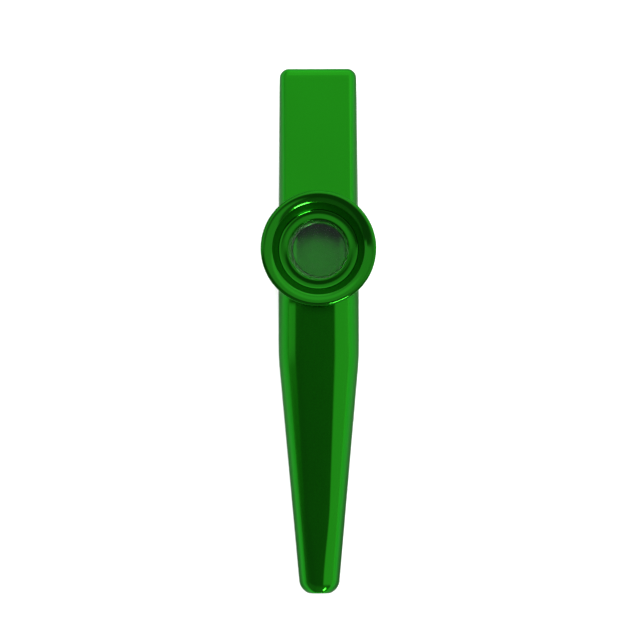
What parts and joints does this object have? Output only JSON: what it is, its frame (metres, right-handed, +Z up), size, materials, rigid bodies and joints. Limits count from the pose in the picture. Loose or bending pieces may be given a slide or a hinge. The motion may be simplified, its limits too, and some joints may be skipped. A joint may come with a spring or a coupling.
{
  "type": "kazoo",
  "caption": "Pressed aluminium kazoo with a flat mouthpiece, a tapering body and a round screw cap that holds a thin buzzing membrane.",
  "frame": {"origin": "on the turret's axis, in the plane of the flat underside that the kazoo rests on", "axes": "+X to the kazoo's right seen from the tail, +Y along the body towards the mouth, +Z up along the turret's axis out of the cap"},
  "size_m": [0.026, 0.12, 0.0215],
  "materials": {
    "anodised_body": "pressed aluminium sheet, polished and dyed green in the anodising, satin gloss",
    "anodised_neck": "turned aluminium, dyed green in the anodising, fine turning marks",
    "anodised_cap": "drawn and turned aluminium, dyed green in the anodising, glossy",
    "clear_ring": "clear moulded plastic ring with a slight haze",
    "clear_film": "thin clear plastic film, taut with faint wrinkles"
  },
  "bodies": {
    "kazoo_body": {"upper_shell": "anodised_body", "lower_shell": "anodised_body", "turret_neck": "anodised_neck"},
    "resonator": {"membrane_ring": "clear_ring", "membrane_film": "clear_film"},
    "cap": {"screw_cap": "anodised_cap"}
  },
  "joints": [
    {"name": "resonator_lift", "type": "slide", "parent": "kazoo_body", "child": "resonator", "axis": [0, 0, 1], "range_m": [0, 0.0032]},
    {"name": "cap_turn", "type": "hinge", "parent": "resonator", "child": "cap", "pos_m": [0, 0, 0.0164], "axis": [0, 0, 1], "range_deg": [0, 1440]}
  ],
  "couplings": [
    {"joint": "resonator_lift", "follows": "cap_turn", "m_per_rad": 0.00012732}
  ]
}
